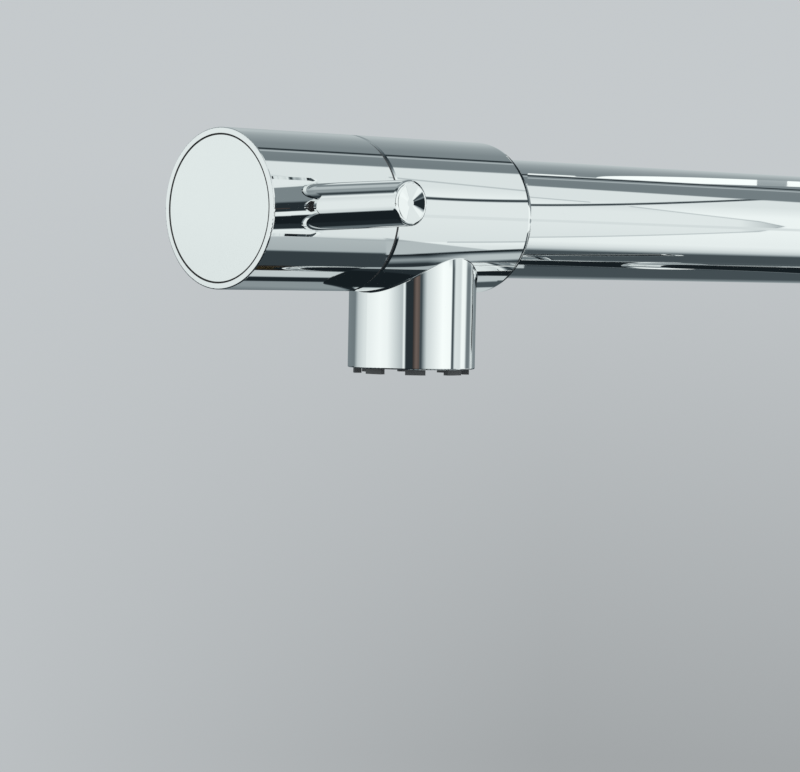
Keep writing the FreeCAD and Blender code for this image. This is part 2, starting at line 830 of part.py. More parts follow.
def fixed_valve_disc():
    end = "fixed_disc_start + valve_disc_thickness"
    plate = rod("headwork_bore", "z", "fixed_disc_start", end)
    put(cut(plate, *disc_ports("fixed_disc_start", end)), "fixed_valve_disc", "arm")


def headwork_seal():
    put(tube("headwork_seal_band", "nipple_radius + 2 * seat_gap", "headwork_bore",
             "headwork_seal_start", "web_start"), "headwork_seal", "arm")


def filter_nipple():
    barb = "filter_tube_bore"
    put(turned("nipple_body", [
        ("nipple_bore", "web_start"),
        ("nipple_radius", "web_start"),
        ("nipple_radius", "web_end"),
        ("nipple_flange_radius", "web_end"),
        ("nipple_flange_radius", "tube_start"),
        (barb, "tube_start"),
        (barb, "tube_start + nipple_barb_length"),
        ("nipple_bore", "tube_start + nipple_barb_length"),
    ]), "filter_nipple", "arm")


# ---------------------------------------------------------------- the aerator in the outlet


def aerator_washer():
    put(tube("aerator_washer_band", "aerator_washer_bore", "aerator_thread_radius",
             "aerator_seat", "aerator_start"), "aerator_washer", "outlet")


def aerator_housing():
    shell = turned("aerator_shell", [
        ("aerator_bore", "aerator_start"),
        ("aerator_thread_radius", "aerator_start"),
        ("aerator_thread_radius", "outlet_drop - aerator_flange_height"),
        ("aerator_flange_radius", "outlet_drop - aerator_flange_height"),
        ("aerator_flange_radius", "aerator_end"),
        ("aerator_lip_bore", "aerator_end"),
        ("aerator_lip_bore", "screen_end"),
        ("aerator_bore", "screen_end"),
    ])
    tabs = []
    for number in range(int(value("tab_count"))):
        tab = DOC.addObject("Part::Cylinder", "Tab")
        bind(tab, Radius="aerator_flange_radius", Height="outlet_drop + tab_height - aerator_end",
             Angle="tab_angle", base_z="aerator_end")
        middle = value("tab_phase") + value("tab_angle") / 2 + number * 360 / value("tab_count")
        tab.Placement = FreeCAD.Placement(tab.Placement.Base, FreeCAD.Rotation(Z_AXIS, -middle))
        tabs.append(tab)
    inside = rod("tab_inner_radius", "z", "aerator_end", "outlet_drop + tab_height")
    put(fused(shell, cut(fused(*tabs), inside)), "aerator_housing", "outlet")


def aerator_screen():
    side = "aerator_bore - seat_gap"
    cup = turned("screen_cup", [
        ("0", "screen_end - screen_thickness"),
        (side + " - screen_cup_wall", "screen_end - screen_thickness"),
        (side + " - screen_cup_wall", "screen_start"),
        (side, "screen_start"),
        (side, "screen_end"),
        ("0", "screen_end"),
    ])
    holes = honeycomb("screen_hole_radius", "screen_hole_pitch", "aerator_bore - screen_edge",
                      "screen_end - screen_thickness", "screen_end")
    put(cut(cup, holes), "aerator_screen", "outlet")


def aerator_jet_plate():
    plate = rod("aerator_bore - seat_gap", "z", "jet_plate_start", "screen_start")
    jets = round_pattern("jet_hole_radius", "jet_ring_radius", "jet_count", "jet_plate_start", "screen_start")
    put(cut(plate, jets), "aerator_jet_plate", "outlet")


def aerator_strainer():
    start = "jet_plate_start - strainer_thickness"
    plate = rod("aerator_bore - seat_gap", "z", start, "jet_plate_start")
    holes = honeycomb("strainer_hole_radius", "strainer_hole_pitch", "aerator_bore - screen_edge",
                      start, "jet_plate_start")
    put(cut(plate, holes), "aerator_strainer", "outlet")


# ---------------------------------------------------------------- the spout


def bent_run(radius, arm_start, bottom):
    """A round bar along the arm, round the bend and down the riser, drawn in the tap's own frame."""
    bend = DOC.addObject("Part::Torus", "Bend")
    bend.Placement = FreeCAD.Placement(FreeCAD.Vector(), FreeCAD.Rotation(X_AXIS, 90))
    bind(bend, Radius1="bend_radius", Radius2=radius, Angle3="90",
         base_x="0 - bend_radius", base_z="arm_height - bend_radius")
    arm = rod(radius, "x", arm_start, "0 - bend_radius", ("0", "arm_height"))
    riser = rod(radius, "z", bottom, "arm_height - bend_radius")
    return fused(arm, bend, riser)


def spout_tube():
    start = "knob_end_x + arm_seat"
    outer = bent_run("arm_radius", start, "foot_top")
    inner = bent_run("arm_bore", start, "foot_top")
    put(cut(outer, inner), "spout_tube", "tap")


def filter_tube():
    start = "knob_end_x + tube_start"
    bottom = "tube_socket_floor + 2 * running_gap"
    outer = bent_run("filter_tube_radius", start, bottom)
    inner = bent_run("filter_tube_bore", start, bottom)
    put(cut(outer, inner), "filter_tube", "tap")


def spout_foot():
    outline = [("foot_bore", "foot_bottom"), ("foot_radius", "foot_bottom")]
    for number in range(2):
        middle = "foot_bottom + foot_seal_place + %d * foot_seal_pitch" % number
        low = middle + " - foot_seal_thickness / 2 - seal_groove_room"
        high = middle + " + foot_seal_thickness / 2 + seal_groove_room"
        outline += [("foot_radius", low), ("foot_groove_radius", low),
                    ("foot_groove_radius", high), ("foot_radius", high)]
    screw = "foot_bottom + lock_screw_place"
    low = screw + " - lock_screw_radius - lock_groove_room"
    high = screw + " + lock_screw_radius + lock_groove_room"
    groove = "foot_radius - lock_groove_depth"
    outline += [
        ("foot_radius", low),
        (groove, low),
        (groove, high),
        ("foot_radius", high),
        ("foot_radius", "foot_top"),
        ("arm_bore - seat_gap", "foot_top"),
        ("arm_bore - seat_gap", "foot_top + foot_neck_length"),
        ("foot_bore", "foot_top + foot_neck_length"),
    ]
    put(turned("foot_body", outline), "spout_foot", "tap")


def spout_o_rings():
    section = "foot_seal_thickness / 2"
    seals = [ring("foot_groove_radius + " + section, section,
                  "foot_bottom + foot_seal_place + %d * foot_seal_pitch" % number) for number in range(2)]
    put(group(*seals), "spout_o_rings", "tap")


def swivel_washer():
    put(tube("thrust_band", "foot_bore", "foot_radius", "socket_floor", "foot_bottom - film_gap"),
        "swivel_washer", "tap")


def swivel_collar():
    top = "column_top + collar_height"
    collar = turned("collar_body", [
        ("arm_radius + running_gap", "column_top"),
        ("socket_radius", "column_top"),
        ("socket_radius", "column_top - collar_thread_depth"),
        ("collar_thread_radius - seat_gap", "column_top - collar_thread_depth"),
        ("collar_thread_radius - seat_gap", "column_top"),
        ("column_radius", "column_top"),
        ("column_radius", top),
        ("arm_radius + running_gap", top),
    ])
    put(chamfered(collar, "collar_edge", ("column_radius", top)), "swivel_collar", "tap")


def spout_lock_screw():
    tip = "foot_radius - lock_groove_depth + lock_screw_tip_gap"
    screw = solid_turned("lock_screw_body", [("lock_screw_radius", tip, "column_radius - lock_screw_sunk")])
    socket = rod("lock_screw_radius / 2", "z", "column_radius - lock_screw_radius", "column_radius")
    put(cut(screw, socket), "spout_lock_screw", "back_screw")


# ---------------------------------------------------------------- the column and its waterways


def column_body():
    column = rod("column_radius", "z", "base_height", "column_top")
    arm = rod("mixer_boss_radius", "y", "0 - mixer_boss_length", "0", ("0", "mixer_height"))
    body = fused(column, arm)
    far = value("mixer_boss_length")
    middle = value("mixer_height")

    def meeting(edge):
        points = points_of(edge)
        on_column = all(abs(math.hypot(point.x, point.y) - value("column_radius")) < 1e-2 for point in points)
        on_arm = all(abs(math.hypot(point.x, point.z - middle) - value("mixer_boss_radius")) < 1e-2
                     for point in points)
        return on_column and on_arm and points[2].y > -far + 1

    body = softened("Fillet", body, "mixer_saddle_round", meeting)
    filter_port = ("0", "port_circle")
    waterways = [
        rod("shank_radius", "z", "base_height - cut_past", "shank_top"),
        rod("collar_thread_radius", "z", "column_top - collar_thread_depth", "column_top + cut_past"),
        rod("socket_radius", "z", "socket_floor", "column_top + cut_past"),
        cut(rod("chamber_radius", "z", "chamber_floor", "socket_floor"),
            rod("boss_radius", "z", "chamber_floor", "boss_top")),
        rod("tube_socket_radius", "z", "tube_socket_floor", "boss_top + cut_past"),
        rod("tube_seal_radius", "z", "boss_top - tube_seal_height", "boss_top + cut_past"),
        rod("cartridge_bore", "y", "0 - mixer_boss_length - cut_past", "0 - cartridge_seat",
            ("0", "mixer_height")),
        rod("port_radius", "z", "shank_top", "port_top", filter_port),
        rod("channel_radius", "z", "port_top", "filter_channel_top", filter_port),
        ball("channel_radius", *filter_port, "filter_channel_top"),
        rod("channel_radius", "y", "0", "port_circle", ("0", "filter_channel_top")),
        ball("channel_radius", "0", "0", "filter_channel_top"),
        rod("channel_radius", "z", "filter_channel_top", "tube_socket_floor"),
        rod("channel_radius", "y", "0 - cartridge_seat - cut_past", "mixed_channel_y", ("0", "mixed_port_z")),
        rod("mixed_channel_radius", "z", "mixed_port_z", "chamber_floor + cut_past",
            ("0", "mixed_channel_y")),
        rod("lock_screw_radius", "x", "foot_radius - cut_past", "column_radius + cut_past",
            ("0", "foot_bottom + lock_screw_place")),
    ]
    for side in ("supply_port_x", "0 - supply_port_x"):
        place = (side, "supply_port_y")
        waterways += [
            rod("port_radius", "z", "shank_top", "port_top", place),
            rod("channel_radius", "z", "port_top", "supply_port_z", place),
            ball("channel_radius", side, "supply_port_y", "supply_port_z"),
            rod("channel_radius", "y", "0 - cartridge_seat - cut_past", "supply_port_y",
                (side, "supply_port_z")),
        ]
    put(cut(body, *waterways), "column_body", "tap")


def filter_tube_seal():
    put(tube("tube_seal_band", "tube_socket_radius", "tube_seal_radius - seat_gap",
             "boss_top - tube_seal_height", "boss_top"), "filter_tube_seal", "tap")


# ---------------------------------------------------------------- the side mixer

PORT_PLACES = (
    ("supply_port_x", "0 - supply_port_drop"),
    ("0 - supply_port_x", "0 - supply_port_drop"),
    ("0", "mixed_port_rise"),
)


def cartridge_ports(radius, start, end):
    return [rod(radius, "z", start, end, place) for place in PORT_PLACES]


def cartridge_base():
    plate = rod("cartridge_radius", "z", "base_plate_start", "housing_start")
    holes = cartridge_ports("channel_radius", "base_plate_start", "housing_start")
    pockets = cartridge_ports("port_seal_radius + seat_gap", "base_plate_start",
                              "base_plate_start + port_seal_pocket")
    put(cut(plate, *holes, *pockets), "cartridge_base", "mixer")


def cartridge_port_seals():
    seals = []
    for place in PORT_PLACES:
        end = "cartridge_seat + port_seal_height"
        outside = rod("port_seal_radius", "z", "cartridge_seat", end, place)
        inside = rod("channel_radius", "z", "cartridge_seat", end, place)
        seals.append(cut(outside, inside))
    put(group(*seals), "cartridge_port_seals", "mixer")


def fixed_mixer_disc():
    end = "housing_start + mixer_disc_thickness"
    plate = rod("housing_bore - seat_gap", "z", "housing_start", end)
    put(cut(plate, *cartridge_ports("channel_radius", "housing_start", end)), "fixed_mixer_disc", "mixer")


def moving_mixer_disc():
    plate = rod("moving_disc_radius", "z", "moving_disc_start", "carrier_start")
    hollow = rod("mixing_hollow_radius", "z", "moving_disc_start", "moving_disc_start + mixing_hollow_depth")
    put(cut(plate, hollow), "moving_mixer_disc", "mixer")


def disc_carrier():
    plate = rod("carrier_radius", "z", "carrier_start", "carrier_end")
    socket = rod("ball_radius + cartridge_play", "z", "ball_place - ball_radius - running_gap", "carrier_end")
    put(cut(plate, socket), "disc_carrier", "mixer")


def cartridge_housing():
    put(turned("housing_shell", [
        ("housing_bore", "housing_start"),
        ("cartridge_radius", "housing_start"),
        ("cartridge_radius", "housing_end"),
        ("rotor_neck_radius", "housing_end"),
        ("rotor_neck_radius", "housing_end - cartridge_roof"),
        ("housing_bore", "housing_end - cartridge_roof"),
    ]), "cartridge_housing", "mixer")


def cartridge_rotor():
    neck = "rotor_neck_radius - running_gap"
    body = solid_turned("rotor_body", [
        ("housing_bore - cartridge_play", "rotor_start", "rotor_flange_end"),
        (neck, "rotor_flange_end", "rotor_neck_end"),
    ])
    half = "stem_half_width + cartridge_play"
    slot = block(("0 - " + "(" + half + ")", half),
                 ("0 - rotor_slot_half_length", "rotor_slot_half_length"),
                 ("rotor_start", "rotor_neck_end"))
    pin_hole = rod("pivot_pin_radius", "x", "0 - pivot_pin_half_length", "pivot_pin_half_length",
                   ("0", "pivot_place"))
    put(cut(body, slot, pin_hole), "cartridge_rotor", "mixer")


def stem_pivot_pin():
    put(rod_along_x("pivot_pin_radius", "pivot_pin_half_length", "pivot_place"), "stem_pivot_pin", "mixer")


def mixer_stem():
    half = "stem_half_width"
    bar_start = "ball_place + stem_neck_length"
    bar = block(("0 - " + half, half), ("0 - " + half, half), (bar_start, "stem_end"))
    neck = rod("stem_neck_radius", "z", "ball_place", bar_start)
    stem = fused(bar, neck, ball("ball_radius", "0", "0", "ball_place"))
    pin_hole = rod("pivot_pin_radius + running_gap", "x", "0 - 2 * " + half, "2 * " + half,
                   ("0", "pivot_place"))
    put(cut(stem, pin_hole), "mixer_stem", "mixer")


def cartridge_nut():
    nut = tube("cartridge_nut_band", "cartridge_nut_bore", "cartridge_bore - seat_gap",
               "housing_end", "housing_end + cartridge_nut_height")
    end = "housing_end + cartridge_nut_height"
    across = ("0 - cartridge_bore", "cartridge_bore")
    slot = ("0 - cartridge_nut_slot_half_width", "cartridge_nut_slot_half_width")
    depth = (end + " - cartridge_nut_slot_depth", end)
    slots = [block(across, slot, depth), block(slot, across, depth)]
    put(cut(nut, *slots), "cartridge_nut", "mixer")


def cartridge_cover():
    flange_end = "mixer_boss_length + dome_flange_height"
    dome = ball("dome_radius", "0", "0", "pivot_place")
    kept = rod("dome_radius + cut_past", "z", "mixer_boss_length", "pivot_place + dome_radius + cut_past")
    flange = rod("mixer_boss_radius - 2 * running_gap", "z", "mixer_boss_length", flange_end)
    skirt = rod("cartridge_bore - seat_gap", "z",
                "mixer_boss_length - dome_skirt_height", "mixer_boss_length")
    body = fused(common(dome, kept), flange, skirt)
    put(cut(
        body,
        ball("dome_radius - dome_thickness", "0", "0", "pivot_place"),
        rod("cover_bore", "z", "pivot_place", "mixer_boss_length + cut_past"),
        rod("dome_opening", "z", "mixer_boss_length", "pivot_place + dome_radius + cut_past"),
    ), "cartridge_cover", "mixer")


def mixer_handle():
    block_body = solid_turned("handle_body", [("handle_radius", "handle_start", "handle_end")])
    rounded(block_body, "handle_edge_round", ("handle_radius", "handle_end"))
    half = "stem_half_width + seat_gap"
    socket = block(("0 - (" + half + ")", half), ("0 - (" + half + ")", half),
                   ("handle_start", "stem_end + seat_gap"))
    place = ("0", "handle_lever_place")
    put(cut(
        block_body,
        ball("dome_radius + handle_gap", "0", "0", "pivot_place"),
        socket,
        rod("handle_tail_radius + seat_gap", "y", "handle_tail_reach - seat_gap", "handle_radius", place),
        rod("grub_screw_radius + seat_gap", "y", "0 - handle_radius", "0", place),
        rod("plug_radius + seat_gap", "y", "0 - handle_radius - cut_past",
            "0 - handle_radius + plug_height", place),
    ), "mixer_handle", "mixer")


def mixer_lever():
    stick = dished_stick("mixer_stick", "handle_radius - handle_lever_base_radius / 2",
                         "handle_lever_base_radius", "handle_lever_reach", "handle_lever_tip_radius")
    core = rod("handle_radius", "y", "0 - 2 * handle_lever_base_radius", "2 * handle_lever_base_radius")
    tail = rod("handle_tail_radius", "z", "handle_tail_reach", "handle_radius + cut_past")
    put(fused(cut(stick, core), tail), "mixer_lever", "handle_lever")


def handle_grub_screw():
    start = "stem_half_width + seat_gap"
    end = start + " + grub_screw_length"
    screw = solid_turned("grub_body", [("grub_screw_radius", start, end)])
    socket = rod("grub_screw_radius / 2", "z", end + " - grub_screw_radius", end)
    put(cut(screw, socket), "handle_grub_screw", "grub")


def index_plug():
    plug = solid_turned("plug_body", [
        ("plug_radius", "handle_radius - plug_height + seat_gap", "handle_radius - seat_gap"),
    ])
    put(plug, "index_plug", "grub")


# ---------------------------------------------------------------- the deck mounting


def base_ring():
    disc = turned("base_disc", [
        ("shank_radius + seat_gap", "0"),
        ("base_seal_inner", "0"),
        ("base_seal_inner", "base_seal_height"),
        ("base_seal_outer", "base_seal_height"),
        ("base_seal_outer", "0"),
        ("base_radius", "0"),
        ("base_radius", "base_height"),
        ("shank_radius + seat_gap", "base_height"),
    ])
    put(rounded(disc, "base_edge_round", ("base_radius", "base_height")), "base_ring", "tap")


def base_seal():
    put(tube("base_seal_band", "base_seal_inner + seat_gap", "base_seal_outer - seat_gap",
             "0", "base_seal_height"), "base_seal", "tap")


def mounting_shank():
    thread = "shank_radius - seat_gap"
    pilot_end = "shank_pilot_length - shank_drop"
    put(turned("shank_pipe", [
        ("shank_bore", "0 - shank_drop"),
        ("shank_pilot_radius", "0 - shank_drop"),
        ("shank_pilot_radius", pilot_end),
        (thread, pilot_end),
        (thread, "shank_top"),
        ("shank_bore", "shank_top"),
    ]), "mounting_shank", "tap")


def deck_gasket():
    put(tube("gasket_band", "shank_radius + seat_gap", "gasket_radius", "washer_top", "gasket_top"),
        "deck_gasket", "tap")


def deck_washer():
    put(tube("washer_band", "shank_radius + seat_gap", "washer_radius", "nut_top", "washer_top"),
        "deck_washer", "tap")


def deck_nut():
    prism = DOC.addObject("Part::Prism", "NutPrism")
    prism.Polygon = 6
    bind(prism, Circumradius="nut_flats / (2 * cos(30))", Height="nut_height", base_z="nut_top - nut_height")
    corner = "nut_flats / (2 * cos(30))"
    envelope = solid_turned("nut_envelope", [(corner, "nut_top - nut_height", "nut_top")])
    chamfered(envelope, "nut_chamfer", (corner, "nut_top - nut_height"))
    bore = rod("shank_radius", "z", "nut_top - nut_height", "nut_top")
    put(cut(common(prism, envelope), bore), "deck_nut", "tap")


fill_sheet()
FRAMES = frames()

filter_knob()
knob_end_cap()
knob_cap_ring()
knob_screw()
knob_lever()
lever_stud()
valve_spindle()
spindle_o_rings()
spindle_clip()
turning_valve_disc()

valve_head()
knob_glide_ring()
headwork_body()
fixed_valve_disc()
headwork_seal()
filter_nipple()

aerator_washer()
aerator_housing()
aerator_screen()
aerator_jet_plate()
aerator_strainer()

spout_tube()
filter_tube()
spout_foot()
spout_o_rings()
swivel_washer()
swivel_collar()
spout_lock_screw()

column_body()
filter_tube_seal()

cartridge_base()
cartridge_port_seals()
fixed_mixer_disc()
moving_mixer_disc()
disc_carrier()
cartridge_housing()
cartridge_rotor()
stem_pivot_pin()
mixer_stem()
cartridge_nut()
cartridge_cover()
mixer_handle()
mixer_lever()
handle_grub_screw()
index_plug()

base_ring()
base_seal()
mounting_shank()
deck_gasket()
deck_washer()
deck_nut()

DOC.recompute()
for thing in DOC.Objects:
    if "Invalid" in thing.State or "Error" in thing.State:
        raise RuntimeError("%s failed: %s" % (thing.Label, thing.State))
for thing in SUBPARTS:
    if thing.Shape.isNull() or not thing.Shape.isValid():
        raise RuntimeError("%s has no valid shape" % thing.Label)

os.makedirs("parts", exist_ok=True)
for thing in SUBPARTS:
    thing.Shape.exportStep("parts/%s.step" % thing.Label)
    print("%-24s %2d solid(s) %12.2f mm3" % (thing.Label, len(thing.Shape.Solids), thing.Shape.Volume))
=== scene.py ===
import json
import math

import bmesh
import bpy
from mathutils import Matrix, Vector

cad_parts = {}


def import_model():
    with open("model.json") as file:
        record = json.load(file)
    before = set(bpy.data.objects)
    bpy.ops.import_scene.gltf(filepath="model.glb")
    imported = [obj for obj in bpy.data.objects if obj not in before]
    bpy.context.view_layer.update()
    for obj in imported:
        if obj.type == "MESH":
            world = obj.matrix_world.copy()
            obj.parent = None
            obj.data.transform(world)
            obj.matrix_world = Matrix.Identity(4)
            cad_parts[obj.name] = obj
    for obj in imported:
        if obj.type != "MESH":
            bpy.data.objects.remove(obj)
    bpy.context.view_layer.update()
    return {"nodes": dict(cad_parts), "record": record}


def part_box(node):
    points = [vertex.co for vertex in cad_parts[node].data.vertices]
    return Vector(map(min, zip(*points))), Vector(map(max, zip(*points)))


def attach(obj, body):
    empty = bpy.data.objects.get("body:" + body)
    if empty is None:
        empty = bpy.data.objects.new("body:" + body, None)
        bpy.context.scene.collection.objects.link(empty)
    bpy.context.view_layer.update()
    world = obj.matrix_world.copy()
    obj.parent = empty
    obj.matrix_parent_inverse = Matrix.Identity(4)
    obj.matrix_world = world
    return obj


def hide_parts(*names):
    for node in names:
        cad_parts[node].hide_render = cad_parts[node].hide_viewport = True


# A chrome three way kitchen tap in a plain grey studio, seen from the knob's end of the spout.
# Metres, +Z up, the column on the Z axis, the spout towards -X.

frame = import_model()
bpy.ops.object.select_all(action="DESELECT")


# ---------------------------------------------------------------- helpers for the node trees


def fresh_tree(owner):
    owner.use_nodes = True
    tree = owner.node_tree
    tree.nodes.clear()
    return tree


def calc(tree, operation, *terms, clamp=False):
    node = tree.nodes.new("ShaderNodeMath")
    node.operation = operation
    node.use_clamp = clamp
    for number, term in enumerate(terms):
        if isinstance(term, (int, float)):
            node.inputs[number].default_value = term
        else:
            tree.links.new(term, node.inputs[number])
    return node.outputs[0]


def blend(tree, share, first, second):
    """first where share is 0, second where it is 1."""
    node = tree.nodes.new("ShaderNodeMix")
    node.data_type = "FLOAT"
    for number, term in ((0, share), (2, first), (3, second)):
        socket = node.inputs[number]
        if isinstance(term, (int, float)):
            socket.default_value = term
        else:
            tree.links.new(term, socket)
    return node.outputs[0]


def blend_colours(tree, share, first, second):
    """The same for colours; each is a socket or a plain (red, green, blue)."""
    node = tree.nodes.new("ShaderNodeMix")
    node.data_type = "RGBA"
    tree.links.new(share, node.inputs[0])
    for socket, colour in ((node.inputs[6], first), (node.inputs[7], second)):
        if isinstance(colour, tuple):
            socket.default_value = (*colour, 1)
        else:
            tree.links.new(colour, socket)
    return node.outputs[2]


def panorama(tree, angle, stops):
    """Brightness by angle: stops are (degrees, brightness), in rising order from -180 to 180."""
    ramp = tree.nodes.new("ShaderNodeFloatCurve")
    curve = ramp.mapping.curves[0]
    points = [((degrees + 180) / 360, level) for degrees, level in stops]
    curve.points[0].location = points[0]
    curve.points[1].location = points[-1]
    for place in points[1:-1]:
        curve.points.new(*place)
    for point in curve.points:
        point.handle_type = "VECTOR"
    ramp.mapping.update()
    share = calc(tree, "MULTIPLY_ADD", angle, 1 / 360, 0.5)
    tree.links.new(share, ramp.inputs["Value"])
    return ramp.outputs[0]


# ---------------------------------------------------------------- the camera

CAMERA_PLACE = (-0.71575, -0.487758, 0.267543)
CAMERA_YAW = 0.78996
CAMERA_PITCH = -0.03838
CAMERA_ROLL = 0.01949
FOCAL_PIXELS = 3029.23
PICTURE_WIDTH = 800
SENSOR_WIDTH = 36.0


def place_camera():
    lens = bpy.data.cameras.new("camera")
    lens.sensor_width = SENSOR_WIDTH
    lens.lens = FOCAL_PIXELS / PICTURE_WIDTH * lens.sensor_width
    camera = bpy.data.objects.new("camera", lens)
    bpy.context.scene.collection.objects.link(camera)
    turn = (Matrix.Rotation(-CAMERA_YAW, 4, "Z")
            @ Matrix.Rotation(math.pi / 2 + CAMERA_PITCH, 4, "X")
            @ Matrix.Rotation(CAMERA_ROLL, 4, "Z"))
    camera.matrix_world = Matrix.Translation(CAMERA_PLACE) @ turn
    bpy.context.scene.camera = camera


# ---------------------------------------------------------------- the studio that the chrome mirrors

# Its panels and the gaps between them, as coarse stops of (degrees, brightness). They were
# rounded from what was measured on the photograph.
# In front of the barrel, by angle above the level forward direction.
IN_FRONT = [(-36, 0.90), (0, 0.95), (22, 0.95), (44, 0.80), (62, 0.80), (180, 0.80)]
# The ceiling above it.
OVERHEAD = [(-180, 0.22), (80, 0.22), (110, 0.26), (130, 0.36), (150, 0.50), (180, 0.60)]
# Below it: under the knob, under the left and right of the head, and under the arm.
BELOW_KNOB = [
    (-180, 0.30), (-126, 0.30), (-124, 0.02), (-113, 0.02), (-111, 0.60), (-96, 0.60),
    (-93, 0.05), (-62, 0.05), (-59, 0.45), (-40, 0.50), (-38, 0.80),
]
BELOW_HEAD_LEFT = [
    (-180, 0.03), (-78, 0.03), (-71, 0.35), (-66, 0.10), (-63, 0.01), (-61, 0.01),
    (-60, 0.80), (-40, 0.90),
]
BELOW_HEAD_RIGHT = [
    (-180, 0.60), (-146, 0.60), (-142, 0.08), (-126, 0.08), (-122, 0.55), (-110, 0.55),
    (-104, 0.01), (-94, 0.01), (-91, 0.80), (-87, 0.06), (-80, 0.06), (-76, 0.55),
    (-68, 0.55), (-63, 0.01), (-60.5, 0.01), (-59.5, 0.80), (-40, 0.90),
]
BELOW_ARM = [
    (-180, 0.45), (-142, 0.08), (-106, 0.08), (-98, 0.01), (-89, 0.01), (-85, 0.10),
    (-80, 0.08), (-63, 0.08), (-57, 0.60), (-50, 0.80), (-42, 0.90),
]
# Round the lever; 0 is to the camera's left.
ROUND_THE_LEVER = [
    (-180, 0.15), (-125, 0.15), (-114, 0.02), (-49, 0.02), (-38, 0.90), (-30, 0.70),
    (-15, 0.85), (15, 0.85), (35, 0.75), (45, 0.90), (54, 0.10), (62, 0.03), (73, 0.35),
    (85, 0.30), (92, 0.50), (106, 0.55), (114, 0.25), (125, 0.25), (138, 0.90),
    (152, 0.55), (180, 0.40),
]
# Along the horizon, by compass angle from +X towards +Y.
ALONG_THE_HORIZON = [
    (-180, 0.95), (-152, 0.50), (-150, 0.90), (-148, 0.90), (-146, 0.03), (-133, 0.03),
    (-127, 0.14), (-118, 0.06), (-108, 0.70), (-78, 1.05), (-60, 1.0), (-58, 0.07),
    (-55, 0.07), (-51, 0.80), (-38, 0.75), (-33, 1.0), (-24, 0.95), (-18, 0.20),
    (-8, 0.20), (-2, 0.60), (6, 0.60), (12, 0.25), (98, 0.20), (110, 0.60), (140, 0.90),
    (165, 1.05), (180, 0.95),
]

# Places along the barrel and the arm, as the part of a mirrored direction along their axis.
SEAM = 0.7065
LOWER_FRAME_START = 0.7205
UNDER_ARM_START = 0.7325
ARM_START = 0.738
MIDDLE = 0.7456
NEAR_HEAD_END = 0.7485
SECOND_LINE_END = 0.752
STRIP_START = 0.7530
UPPER_FRAME_START = 0.7605
STRIP_THINNING = 0.7754
SCREEN_DARKENING = 0.7836
STRIP_GAP = (0.7865, 0.7925)
SCREEN_NARROWING = 0.7876
SCREEN_END = 0.7925
ROUNDED_END = (0.803, 0.93)

# Edges of panels: (rise, start) for a straight one and (bow, rise, start) for a curved one.
# start is the angle in degrees at MIDDLE, rise is per unit along and bow per unit squared.
HEAD_CLIMB = (480.0, 16.2)
WEDGE_TOP = (-600.0, -59.8)
DARK_EDGE = (8800.0, 420.0, 30.0)
SCREEN_FOOT = (4800.0, 400.0, -33.0)
SCREEN_CORNER = (-760.0, 45.0)
SECOND_LINE = (-366.0, 41.0)
ARM_CEILING = (-150.0, 67.5)

# Level edges and shares, angles in degrees.
RIGHT_OF_HEAD = (100.0, 2.96)
HEAD_TOP = -42.0
WEDGE_BOTTOM = -60.0
WEDGE_LEVEL = 0.52
UNDER_ARM_TOP = -112.0
SCREEN_FOOT_NARROWING = 1800.0
SCREEN_HEAD_NARROWING = -1000.0
SCREEN_LOSS = 0.115
SCREEN_END_LOSS = 40.0
FRAME_LOSS = 0.30
DARK_EDGE_LOSS = 0.94
BARREL_CEILING = 73.0
BRIGHT_LINE_BARREL, BRIGHT_LINE_ARM = 92.5, 88.0
BRIGHT_LINE_SHARE, BRIGHT_LINE_LEVEL = 0.7, 0.55
DARK_LINE_BARREL, DARK_LINE_ARM = 96.8, 94.5
DARK_LINE_LOSS = 0.88
STRIP_TOP = (140.0, 99.0)
STRIP_BOTTOM = (350.0, 98.0)
NEAR_HEAD_LIFT = 2.5
STRIP_GAP_LOSS = 0.85
STRIP_LEVEL = 1.05
ROUNDED_END_ANGLE = 24.0
ROUNDED_END_LOSS = 0.92

# The unlit side of the room, by the parts x, y and z of a direction.
FOOT_Y, FOOT_HALF_WIDTH, FOOT_END_X = -0.70, 0.075, 0.40
FOOT_STEP_Z, FOOT_LOW_LEVEL, FOOT_HIGH_LEVEL = 0.33, 0.03, 0.26
WINDOW_Z, WINDOW_HALF_HEIGHT, WINDOW_END_X = -0.31, 0.11, -0.4
UNDERNEATH_END_X, UNDERNEATH_TOP_Z, UNDERNEATH_LEVEL = -0.05, -0.42, 0.014
TIP_START_X, TIP_END_X, TIP_END_Y = 0.40, 0.555, -0.5
TIP_HALF_HEIGHT, TIP_LEVEL = 0.17, 0.02

LEVER_SIDE = (6, 0.5)
HORIZON_Z = -0.02
HORIZON_FADE = (-70, 2.45)
DOORWAY = (-133.0, -121.0)
# Red, green and blue of the studio's light: gain, power, and what the doorway adds.
STUDIO_TINT = ((0.945, 1.09, 0.45), (1.0, 1.0, -0.12), (0.988, 0.949, -0.30))

# The wall behind the tap darkens towards the lower right, as the camera sees it.
WALL_HIGH = (0.558, 0.588, 0.606)
WALL_LOW = (0.365, 0.385, 0.395)
WALL_FALL = (-5.2, 0.18)
WALL_RIGHTWARD = (5.5, 0.72)
WALL_DARKENING = (0.7, 0.3)
SOFT_LIGHT = (0.72, 0.72, 0.72)

# Half widths from the middle of a thin line at which its mask has run out.
LINE_REACH = 1.6


def line_mask(tree, angle, middle, half_width):
    """1 on a thin line at the middle angle, 0 away from it."""
    off = calc(tree, "ABSOLUTE", calc(tree, "SUBTRACT", angle, middle))
    return calc(tree, "MULTIPLY_ADD", off, -1 / half_width, LINE_REACH, clamp=True)


def above(tree, first, second, softness=1.0):
    """1 where first is over second, 0 where it is under, with a step this many units wide."""
    difference = calc(tree, "SUBTRACT", first, second)
    return calc(tree, "MULTIPLY_ADD", difference, 1 / softness, 0.5, clamp=True)


